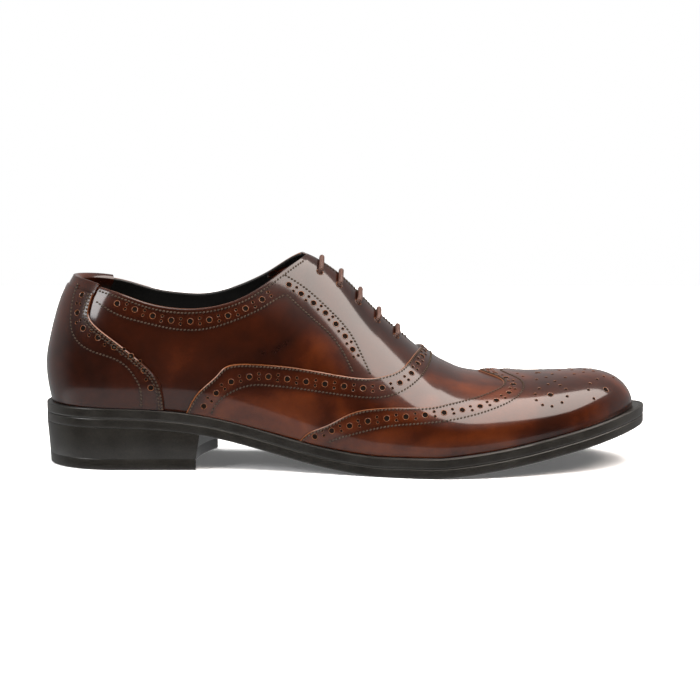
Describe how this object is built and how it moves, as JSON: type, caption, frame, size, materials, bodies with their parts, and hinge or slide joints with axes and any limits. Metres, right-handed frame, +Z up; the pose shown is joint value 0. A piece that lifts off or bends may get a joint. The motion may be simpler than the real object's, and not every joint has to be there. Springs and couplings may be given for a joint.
{
  "type": "brogue shoe",
  "caption": "Right-foot wingtip oxford dress shoe: hollow leather upper with toe cap, vamp and counter overlays, laced throat, welt, leather-look sole and stacked heel.",
  "frame": {"origin": "on the floor, at the middle of the flat underside of the heel", "axes": "+X towards the toe, +Y towards the inner (medial) side of the foot, +Z up"},
  "size_m": [0.305, 0.1033, 0.1048],
  "materials": {
    "brown_leather": "polished, burnished",
    "cap_leather": "polished, burnished",
    "black_leather": "matt lining leather",
    "black_sole": "satin",
    "brown_cord": "waxed round cord"
  },
  "bodies": {
    "root": {"upper": "brown_leather", "wing_cap": "cap_leather", "vamp": "brown_leather", "heel_counter": "brown_leather", "heel_tab": "brown_leather", "tongue": "brown_leather", "insole": "black_leather", "welt": "black_sole", "outsole": "black_sole", "heel_block": "black_sole", "top_lift": "black_sole", "lace": "brown_cord"}
  },
  "joints": []
}
